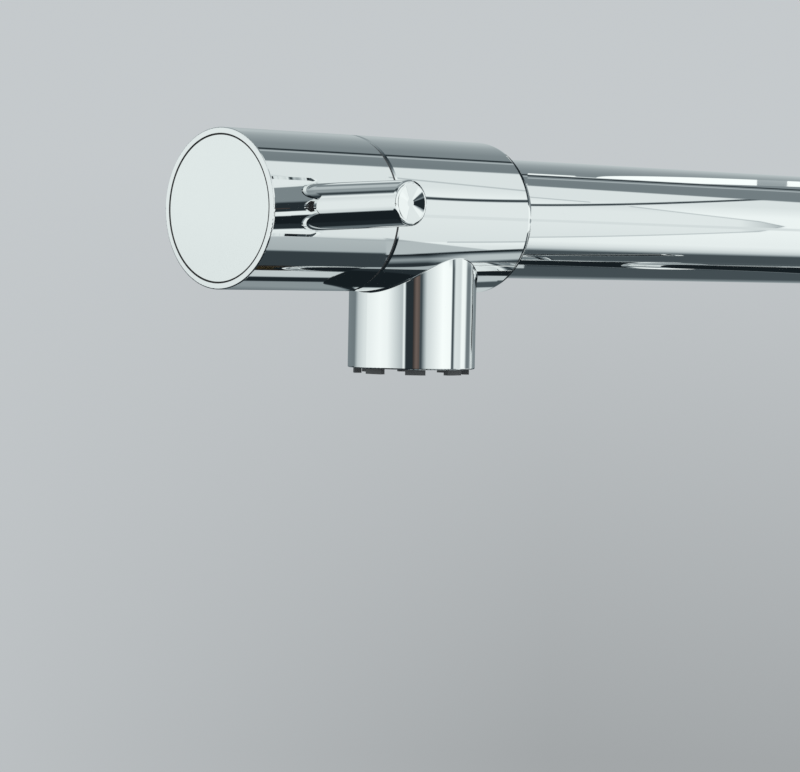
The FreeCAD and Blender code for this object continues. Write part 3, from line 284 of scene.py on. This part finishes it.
def within(tree, part, middle, half_width, softness):
    """1 where part is nearer to middle than half_width."""
    off = calc(tree, "ABSOLUTE", calc(tree, "SUBTRACT", part, middle))
    return above(tree, half_width, off, softness)


def past(tree, aside, place):
    return calc(tree, "GREATER_THAN", aside, place)


def before(tree, aside, place):
    return calc(tree, "LESS_THAN", aside, place)


def beyond(tree, aside, place):
    """How far aside lies past the place, and 0 before it."""
    return calc(tree, "SUBTRACT", aside, place, clamp=True)


def straight(tree, part, rise, start, clamp=False):
    return calc(tree, "MULTIPLY_ADD", part, rise, start, clamp=clamp)


def edge_angle(tree, along, edge):
    """The angle of a straight or curved edge at this place along the barrel."""
    *bow, rise, start = edge
    angle = straight(tree, along, rise, start)
    if bow:
        angle = straight(tree, calc(tree, "MULTIPLY", along, along), bow[0], angle)
    return angle


def product(tree, first, *others):
    for other in others:
        first = calc(tree, "MULTIPLY", first, other)
    return first


def dimmed(tree, level, mask, loss):
    return calc(tree, "MULTIPLY", level, straight(tree, mask, -loss, 1.0))


def panels_below(tree, angle, aside, along, on_arm, past_seam):
    """The panels under and in front of the knob, the head and the arm."""
    # under the head the panels' upper edge climbs to the right; a grey wedge above it runs out
    climbed = calc(tree, "SUBTRACT", angle, edge_angle(tree, along, HEAD_CLIMB))
    rightness = straight(tree, along, *RIGHT_OF_HEAD, clamp=True)
    head = blend(tree, rightness, panorama(tree, climbed, BELOW_HEAD_LEFT + IN_FRONT),
                 panorama(tree, climbed, BELOW_HEAD_RIGHT + IN_FRONT))
    front = panorama(tree, angle, BELOW_ARM + IN_FRONT)
    head = blend(tree, above(tree, angle, HEAD_TOP, softness=6.0), head, front)
    wedge = product(tree, above(tree, edge_angle(tree, along, WEDGE_TOP), angle, softness=1.5),
                    above(tree, climbed, WEDGE_BOTTOM))
    head = blend(tree, wedge, head, WEDGE_LEVEL)
    under_arm = product(tree, past(tree, aside, UNDER_ARM_START), above(tree, UNDER_ARM_TOP, angle))
    head = blend(tree, calc(tree, "MAXIMUM", on_arm, under_arm), head, front)
    return blend(tree, past_seam, panorama(tree, angle, BELOW_KNOB + IN_FRONT), head)


def screen_and_lines(tree, level, angle, aside, along, past_seam):
    """A dark curved edge, under it a faintly darker screen with a thin frame, and a second line."""
    edge = edge_angle(tree, along, DARK_EDGE)
    narrowing = beyond(tree, aside, SCREEN_NARROWING)
    low = straight(tree, narrowing, SCREEN_FOOT_NARROWING, edge_angle(tree, along, SCREEN_FOOT))
    high = calc(tree, "MINIMUM", edge, edge_angle(tree, along, SCREEN_CORNER))
    high = straight(tree, narrowing, SCREEN_HEAD_NARROWING, high)
    before_end = before(tree, aside, SCREEN_END)
    screen = product(tree, above(tree, angle, low), above(tree, high, angle), before_end)
    far_end = calc(tree, "MULTIPLY", beyond(tree, aside, SCREEN_DARKENING), SCREEN_END_LOSS)
    loss = calc(tree, "MULTIPLY", screen, calc(tree, "ADD", SCREEN_LOSS, far_end))
    level = calc(tree, "MULTIPLY", level, calc(tree, "SUBTRACT", 1.0, loss))
    frame_low = product(tree, line_mask(tree, angle, low, half_width=1.0), before_end,
                        past(tree, aside, LOWER_FRAME_START))
    frame_high = product(tree, line_mask(tree, angle, high, half_width=1.0), before_end,
                         past(tree, aside, UPPER_FRAME_START))
    level = dimmed(tree, level, calc(tree, "MAXIMUM", frame_low, frame_high), FRAME_LOSS)
    dark_edge = product(tree, line_mask(tree, angle, edge, half_width=1.9), past_seam)
    level = dimmed(tree, level, dark_edge, DARK_EDGE_LOSS)
    second = line_mask(tree, angle, edge_angle(tree, along, SECOND_LINE), half_width=1.0)
    second = product(tree, second, past_seam, before(tree, aside, SECOND_LINE_END))
    return dimmed(tree, level, second, FRAME_LOSS)


def ceiling_and_strip(tree, level, angle, aside, along, on_arm):
    """The ceiling with a bright and a dark line in it, and a lamp strip over the arm."""
    step = blend(tree, on_arm, BARREL_CEILING, edge_angle(tree, along, ARM_CEILING))
    ceiling = above(tree, angle, step, softness=2.5)
    level = blend(tree, ceiling, level, panorama(tree, angle, OVERHEAD))
    bright = blend(tree, on_arm, BRIGHT_LINE_BARREL, BRIGHT_LINE_ARM)
    bright = calc(tree, "MULTIPLY", line_mask(tree, angle, bright, half_width=1.3), BRIGHT_LINE_SHARE)
    level = blend(tree, bright, level, BRIGHT_LINE_LEVEL)
    dark = blend(tree, on_arm, DARK_LINE_BARREL, DARK_LINE_ARM)
    level = dimmed(tree, level, line_mask(tree, angle, dark, half_width=1.6), DARK_LINE_LOSS)
    root = calc(tree, "SQRT", beyond(tree, aside, STRIP_START))
    near_head = product(tree, before(tree, aside, NEAR_HEAD_END), NEAR_HEAD_LIFT)
    top = calc(tree, "ADD", straight(tree, root, *STRIP_TOP), near_head)
    bottom = straight(tree, beyond(tree, aside, STRIP_THINNING), *STRIP_BOTTOM)
    strip = product(tree, above(tree, top, angle, softness=2.0),
                    above(tree, angle, bottom, softness=1.5), on_arm)
    gap_start, gap_end = STRIP_GAP
    gap = product(tree, past(tree, aside, gap_start), before(tree, aside, gap_end))
    return blend(tree, dimmed(tree, strip, gap, STRIP_GAP_LOSS), level, STRIP_LEVEL)


def barrel_panels(tree, angle, aside):
    """What the barrel and the arm mirror, by the angle round their axis and the part along it."""
    along = calc(tree, "SUBTRACT", aside, MIDDLE)
    on_arm = past(tree, aside, ARM_START)
    past_seam = past(tree, aside, SEAM)
    level = panels_below(tree, angle, aside, along, on_arm, past_seam)
    level = screen_and_lines(tree, level, angle, aside, along, past_seam)
    level = ceiling_and_strip(tree, level, angle, aside, along, on_arm)
    # a dark gap at the barrel's rounded end
    start, end = ROUNDED_END
    rounded = product(tree, past(tree, aside, start), before(tree, aside, end),
                      past(tree, calc(tree, "ABSOLUTE", angle), ROUNDED_END_ANGLE))
    return dimmed(tree, level, rounded, ROUNDED_END_LOSS)


def unlit_side(tree, level, x, y, z, off_level):
    """Darkens what is mirrored at the lever's foot, under the barrel and in the lever's tip."""
    foot = product(tree, within(tree, y, FOOT_Y, FOOT_HALF_WIDTH, softness=0.02),
                   above(tree, FOOT_END_X, x, softness=0.1))
    window = product(tree, within(tree, z, WINDOW_Z, WINDOW_HALF_HEIGHT, softness=0.03),
                     above(tree, WINDOW_END_X, x, softness=0.1))
    foot = product(tree, foot, calc(tree, "SUBTRACT", 1.0, window))
    foot_level = blend(tree, above(tree, z, FOOT_STEP_Z, softness=0.1),
                       FOOT_LOW_LEVEL, FOOT_HIGH_LEVEL)
    level = blend(tree, foot, level, foot_level)
    underneath = product(tree, above(tree, UNDERNEATH_END_X, x, softness=0.1),
                         above(tree, UNDERNEATH_TOP_Z, z, softness=0.06))
    level = blend(tree, underneath, level, UNDERNEATH_LEVEL)
    tip = product(tree, above(tree, TIP_END_X, x, softness=0.02),
                  above(tree, x, TIP_START_X, softness=0.05),
                  above(tree, TIP_END_Y, y, softness=0.1),
                  above(tree, TIP_HALF_HEIGHT, off_level, softness=0.04))
    return blend(tree, tip, level, TIP_LEVEL)


def studio_light(tree, x, y, z):
    """The colour of the studio in each direction, for what the chrome mirrors."""
    def degrees(upward, forward):
        return calc(tree, "MULTIPLY", calc(tree, "ARCTAN2", upward, forward), math.degrees(1))

    barrel = barrel_panels(tree, degrees(z, calc(tree, "MULTIPLY", y, -1)), x)
    lever = panorama(tree, degrees(z, calc(tree, "MULTIPLY", x, -1)), ROUND_THE_LEVER)
    compass = degrees(y, x)
    horizon = panorama(tree, compass, ALONG_THE_HORIZON)
    lever_side = straight(tree, calc(tree, "SUBTRACT", y, x), *LEVER_SIDE, clamp=True)
    off_level = calc(tree, "ABSOLUTE", calc(tree, "SUBTRACT", z, HORIZON_Z))
    around = unlit_side(tree, blend(tree, lever_side, barrel, lever), x, y, z, off_level)
    at_horizon = straight(tree, off_level, *HORIZON_FADE, clamp=True)
    glossy = blend(tree, at_horizon, around, horizon)
    # a brown doorway in the dark gap of the horizon
    doorway_start, doorway_end = DOORWAY
    doorway = product(tree, above(tree, compass, doorway_start),
                      above(tree, doorway_end, compass), at_horizon)
    colour = tree.nodes.new("ShaderNodeCombineColor")
    for number, (gain, power, brown) in enumerate(STUDIO_TINT):
        channel = calc(tree, "MULTIPLY", calc(tree, "POWER", glossy, power), gain)
        channel = calc(tree, "MULTIPLY", channel, straight(tree, doorway, brown, 1.0))
        tree.links.new(channel, colour.inputs[number])
    return colour.outputs[0]


def wall_light(tree, x, y, z):
    lowness = straight(tree, z, *WALL_FALL, clamp=True)
    aside = calc(tree, "SUBTRACT", calc(tree, "MULTIPLY", x, math.cos(CAMERA_YAW)),
                 calc(tree, "MULTIPLY", y, math.sin(CAMERA_YAW)))
    rightness = straight(tree, aside, *WALL_RIGHTWARD, clamp=True)
    darkness = calc(tree, "MULTIPLY", lowness, straight(tree, rightness, *WALL_DARKENING))
    return blend_colours(tree, darkness, WALL_HIGH, WALL_LOW)


def build_studio():
    """The wall for the camera, the studio for what the metal mirrors, soft light for the rest."""
    world = bpy.data.worlds.new("studio")
    bpy.context.scene.world = world
    tree = fresh_tree(world)
    direction = tree.nodes.new("ShaderNodeTexCoord").outputs["Generated"]
    split = tree.nodes.new("ShaderNodeSeparateXYZ")
    tree.links.new(direction, split.inputs[0])
    x, y, z = split.outputs
    path = tree.nodes.new("ShaderNodeLightPath")
    mirrored = studio_light(tree, x, y, z)
    seen = blend_colours(tree, path.outputs["Is Glossy Ray"], SOFT_LIGHT, mirrored)
    pictured = calc(tree, "MAXIMUM", path.outputs["Is Camera Ray"],
                    path.outputs["Is Transmission Ray"])
    seen = blend_colours(tree, pictured, seen, wall_light(tree, x, y, z))
    background = tree.nodes.new("ShaderNodeBackground")
    tree.links.new(seen, background.inputs["Color"])
    output = tree.nodes.new("ShaderNodeOutputWorld")
    tree.links.new(background.outputs[0], output.inputs["Surface"])


LAMP_PLACE = (-0.9, -0.7, 1.5)
LAMP_AIM = (-0.05, 0.0, 0.1)
LAMP_SIDE = 0.9
LAMP_POWER = 8.5
FLOOR_HEIGHT = -0.0605
FLOOR_RADIUS = 1.0
FLOOR_FADE_START = 0.62
FLOOR_SIDES = 96
FLOOR_CLOUD_SCALE = 6.0
FLOOR_CLOUD_DETAIL = 6.0
FLOOR_ROUGHNESS = 0.85
FLOOR_SPECULAR = 0.1
FLOOR_DARK = (0.50, 0.515, 0.525)
FLOOR_LIGHT = (0.56, 0.575, 0.585)


def hang_lamp():
    lamp = bpy.data.lights.new("softbox", "AREA")
    lamp.shape = "SQUARE"
    lamp.size = LAMP_SIDE
    lamp.energy = LAMP_POWER
    holder = bpy.data.objects.new("softbox", lamp)
    bpy.context.scene.collection.objects.link(holder)
    holder.location = LAMP_PLACE
    aim = Vector(LAMP_AIM) - Vector(LAMP_PLACE)
    holder.rotation_euler = aim.to_track_quat("-Z", "Y").to_euler()
    holder.visible_glossy = False


def floor_finish():
    """Pale matt floor with a faint cloudiness that fades into the wall at its rim."""
    material = bpy.data.materials.new("studio_floor")
    tree = fresh_tree(material)
    place = tree.nodes.new("ShaderNodeTexCoord").outputs["Object"]
    cloud = tree.nodes.new("ShaderNodeTexNoise")
    cloud.inputs["Scale"].default_value = FLOOR_CLOUD_SCALE
    cloud.inputs["Detail"].default_value = FLOOR_CLOUD_DETAIL
    tree.links.new(place, cloud.inputs["Vector"])
    shader = tree.nodes.new("ShaderNodeBsdfPrincipled")
    shader.inputs["Roughness"].default_value = FLOOR_ROUGHNESS
    shader.inputs["Specular IOR Level"].default_value = FLOOR_SPECULAR
    tone = blend_colours(tree, cloud.outputs["Fac"], FLOOR_DARK, FLOOR_LIGHT)
    tree.links.new(tone, shader.inputs["Base Color"])
    length = tree.nodes.new("ShaderNodeVectorMath")
    length.operation = "LENGTH"
    tree.links.new(place, length.inputs[0])
    rim = FLOOR_RADIUS - FLOOR_FADE_START
    fade = straight(tree, length.outputs["Value"], -1 / rim, FLOOR_RADIUS / rim, clamp=True)
    clear = tree.nodes.new("ShaderNodeBsdfTransparent")
    mix = tree.nodes.new("ShaderNodeMixShader")
    tree.links.new(fade, mix.inputs[0])
    tree.links.new(clear.outputs[0], mix.inputs[1])
    tree.links.new(shader.outputs[0], mix.inputs[2])
    output = tree.nodes.new("ShaderNodeOutputMaterial")
    tree.links.new(mix.outputs[0], output.inputs["Surface"])
    return material


def lay_floor():
    bpy.ops.mesh.primitive_circle_add(vertices=FLOOR_SIDES, radius=FLOOR_RADIUS,
                                      fill_type="NGON", location=(0, 0, FLOOR_HEIGHT))
    floor = bpy.context.object
    floor.name = "studio_floor"
    bpy.ops.object.transform_apply(location=True, rotation=True, scale=True)
    floor.data.materials.append(floor_finish())
    floor.visible_glossy = False
    bpy.ops.object.select_all(action="DESELECT")


# ---------------------------------------------------------------- finishes


GRAIN_DETAIL = 5.0
# The noise lies mostly between these two, so they stand for the roughness's two ends.
GRAIN_LOW = 0.3
GRAIN_HIGH = 0.7
RING_WANDER = 3.0
RING_HEIGHT = 0.35


def grain_height(tree, place, grain, rings):
    """The height for a bump: the grain, with turning marks across the axis if rings are given."""
    if not rings:
        return grain
    axis, pitch = rings
    split = tree.nodes.new("ShaderNodeSeparateXYZ")
    tree.links.new(place, split.inputs[0])
    turns = calc(tree, "MULTIPLY", split.outputs["XYZ".index(axis)], 2 * math.pi / pitch)
    wander = calc(tree, "MULTIPLY", grain, RING_WANDER)
    marks = calc(tree, "SINE", calc(tree, "ADD", turns, wander))
    return calc(tree, "MULTIPLY_ADD", marks, RING_HEIGHT, grain)


def finish(name, roughness, grain, metallic=0.0, tones=None, colour=None, bump=0.0,
           bump_depth=0.00005, rings=None, specular=0.5, coat=0.0, subsurface=0.0):
    """A finish whose gloss, tone and fine relief vary in a grain, given in waves per metre.

    tones are the two colours that the grain goes between, rings the axis and pitch of turning marks.
    """
    material = bpy.data.materials.new(name)
    tree = fresh_tree(material)
    place = tree.nodes.new("ShaderNodeTexCoord").outputs["Object"]
    noise = tree.nodes.new("ShaderNodeTexNoise")
    noise.inputs["Scale"].default_value = grain
    noise.inputs["Detail"].default_value = GRAIN_DETAIL
    tree.links.new(place, noise.inputs["Vector"])
    shader = tree.nodes.new("ShaderNodeBsdfPrincipled")
    shader.inputs["Metallic"].default_value = metallic
    shader.inputs["Specular IOR Level"].default_value = specular
    shader.inputs["Coat Weight"].default_value = coat
    shader.inputs["Subsurface Weight"].default_value = subsurface
    spread = tree.nodes.new("ShaderNodeMapRange")
    spread.inputs["From Min"].default_value = GRAIN_LOW
    spread.inputs["From Max"].default_value = GRAIN_HIGH
    spread.inputs["To Min"].default_value = roughness[0]
    spread.inputs["To Max"].default_value = roughness[1]
    tree.links.new(noise.outputs["Fac"], spread.inputs["Value"])
    tree.links.new(spread.outputs["Result"], shader.inputs["Roughness"])
    if tones:
        tone = blend_colours(tree, noise.outputs["Fac"], *tones)
        tree.links.new(tone, shader.inputs["Base Color"])
    else:
        shader.inputs["Base Color"].default_value = (*colour, 1)
    if bump:
        relief = tree.nodes.new("ShaderNodeBump")
        relief.inputs["Strength"].default_value = bump
        relief.inputs["Distance"].default_value = bump_depth
        height = grain_height(tree, place, noise.outputs["Fac"], rings)
        tree.links.new(height, relief.inputs["Height"])
        tree.links.new(relief.outputs["Normal"], shader.inputs["Normal"])
    output = tree.nodes.new("ShaderNodeOutputMaterial")
    tree.links.new(shader.outputs[0], output.inputs["Surface"])
    return material


FINISHES = {
    "polished_chrome": finish(
        "polished_chrome", metallic=1.0, roughness=(0.004, 0.018), grain=260.0,
        colour=(0.93, 0.94, 0.94), bump=0.008, bump_depth=0.00002),
    "end_cap_chrome": finish(
        "end_cap_chrome", metallic=1.0, roughness=(0.05, 0.11), grain=420.0,
        colour=(0.93, 0.945, 0.94), bump=0.01, bump_depth=0.00002),
    "black_rubber": finish(
        "black_rubber", roughness=(0.55, 0.8), grain=900.0, bump=0.25,
        tones=((0.014, 0.014, 0.015), (0.032, 0.032, 0.033)), specular=0.35),
    "bare_brass": finish(
        "bare_brass", metallic=1.0, roughness=(0.2, 0.36), grain=160.0, bump=0.2,
        tones=((0.66, 0.47, 0.22), (0.78, 0.60, 0.32)), rings=("Z", 0.0004)),
    "stainless_steel": finish(
        "stainless_steel", metallic=1.0, roughness=(0.2, 0.38), grain=300.0, bump=0.15,
        tones=((0.49, 0.49, 0.50), (0.61, 0.61, 0.62)), rings=("Z", 0.0005)),
    "alumina_ceramic": finish(
        "alumina_ceramic", roughness=(0.12, 0.25), grain=1500.0, bump=0.05,
        tones=((0.83, 0.82, 0.79), (0.89, 0.88, 0.85)), coat=0.1),
    "dark_grey_plastic": finish(
        "dark_grey_plastic", roughness=(0.38, 0.6), grain=2200.0, bump=0.3,
        tones=((0.045, 0.05, 0.055), (0.08, 0.085, 0.09))),
    "white_plastic": finish(
        "white_plastic", roughness=(0.35, 0.55), grain=1400.0, bump=0.15,
        tones=((0.78, 0.78, 0.76), (0.86, 0.86, 0.84)), subsurface=0.05),
    "tube_plastic": finish(
        "tube_plastic", roughness=(0.3, 0.5), grain=90.0, bump=0.1,
        tones=((0.76, 0.80, 0.82), (0.84, 0.88, 0.90)), subsurface=0.1),
    "index_plug_plastic": finish(
        "index_plug_plastic", roughness=(0.15, 0.3), grain=1200.0, bump=0.08,
        tones=((0.40, 0.41, 0.42), (0.50, 0.51, 0.52)), coat=0.2),
}


def dress_nodes():
    for subpart in frame["record"]["subparts"]:
        node = frame["nodes"][subpart["node"]]
        for slot in node.material_slots:
            slot.material = FINISHES[subpart["material_slot"]]


# ---------------------------------------------------------------- the threaded shank under the deck

THREAD_PITCH = 0.0015
THREAD_DEPTH = 0.0008
SHANK_BORE_RADIUS = 0.0140
PILOT_RADIUS = 0.0154
PILOT_LENGTH = 0.010
LEAD_IN = 0.0008
SPIN_STEPS = 96
SAME_PLACE = 1e-6
SMOOTH_BELOW = math.radians(20)


def pick_corners(piece, wanted):
    """Selects, in edit mode, the corners for which wanted(place) is true, and the edges between them."""
    shape = bmesh.from_edit_mesh(piece.data)
    for corner in shape.verts:
        corner.select = bool(wanted(corner.co))
    shape.select_flush_mode()
    bmesh.update_edit_mesh(piece.data)


def near(first, second):
    return abs(first - second) < SAME_PLACE


def cut_shank_thread():
    """Section of the shank's wall with its teeth, spun round the column's axis."""
    (_, _, bottom), (outside, _, top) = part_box("mounting_shank")
    thread_bottom = bottom + PILOT_LENGTH + LEAD_IN
    root_radius = outside - THREAD_DEPTH
    teeth = round(-thread_bottom / THREAD_PITCH)
    wall_middle = (SHANK_BORE_RADIUS + root_radius) / 2
    bpy.ops.mesh.primitive_plane_add(size=1, rotation=(math.pi / 2, 0, 0),
                                     location=(wall_middle, 0, thread_bottom / 2))
    shank = bpy.context.object
    shank.name = "threaded_shank"
    shank.scale = (root_radius - SHANK_BORE_RADIUS, -thread_bottom, 1)
    bpy.ops.object.transform_apply(location=True, rotation=True, scale=True)
    bpy.ops.object.mode_set(mode="EDIT")
    bpy.ops.mesh.select_mode(type="VERT")

    # teeth on the outer edge: every second corner goes out to the crest
    pick_corners(shank, lambda place: near(place.x, root_radius))
    bpy.ops.mesh.subdivide(number_cuts=2 * teeth - 1)
    crest_pitch = -thread_bottom / teeth
    pick_corners(shank, lambda place: near(place.x, root_radius)
                 and not near(place.z, thread_bottom) and not near(place.z, 0)
                 and near(abs(place.z / crest_pitch) % 1, 0.5))
    bpy.ops.transform.translate(value=(THREAD_DEPTH, 0, 0))

    # the plain upper end, and below the thread a lead-in and the plain pilot
    pick_corners(shank, lambda place: near(place.z, 0))
    bpy.ops.mesh.extrude_edges_move(TRANSFORM_OT_translate={"value": (0, 0, THREAD_DEPTH)})
    pick_corners(shank, lambda place: near(place.z, THREAD_DEPTH) and near(place.x, root_radius))
    bpy.ops.transform.translate(value=(THREAD_DEPTH, 0, 0))
    pick_corners(shank, lambda place: near(place.z, THREAD_DEPTH))
    bpy.ops.mesh.extrude_edges_move(TRANSFORM_OT_translate={"value": (0, 0, top - THREAD_DEPTH)})
    pick_corners(shank, lambda place: near(place.z, thread_bottom))
    bpy.ops.mesh.extrude_edges_move(TRANSFORM_OT_translate={"value": (0, 0, -LEAD_IN)})
    pick_corners(shank, lambda place: near(place.z, thread_bottom - LEAD_IN)
                 and near(place.x, root_radius))
    bpy.ops.transform.translate(value=(PILOT_RADIUS - root_radius, 0, 0))
    pick_corners(shank, lambda place: near(place.z, thread_bottom - LEAD_IN))
    bpy.ops.mesh.extrude_edges_move(TRANSFORM_OT_translate={"value": (0, 0, -PILOT_LENGTH)})

    # one outline, spun and closed
    bpy.ops.mesh.select_all(action="SELECT")
    bpy.ops.mesh.dissolve_faces()
    bpy.ops.mesh.delete(type="ONLY_FACE")
    bpy.ops.mesh.select_all(action="SELECT")
    bpy.ops.mesh.spin(steps=SPIN_STEPS, angle=2 * math.pi, center=(0, 0, 0), axis=(0, 0, 1))
    bpy.ops.mesh.select_all(action="SELECT")
    bpy.ops.mesh.remove_doubles(threshold=SAME_PLACE)
    bpy.ops.mesh.normals_make_consistent(inside=False)
    bpy.ops.object.mode_set(mode="OBJECT")
    bpy.ops.object.shade_smooth_by_angle(angle=SMOOTH_BELOW)
    shank.data.materials.append(FINISHES["bare_brass"])
    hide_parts("mounting_shank")
    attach(shank, "tap_column")
    bpy.ops.object.select_all(action="DESELECT")


place_camera()
build_studio()
hang_lamp()
lay_floor()
dress_nodes()
cut_shank_thread()

bpy.context.scene.view_settings.view_transform = "Standard"
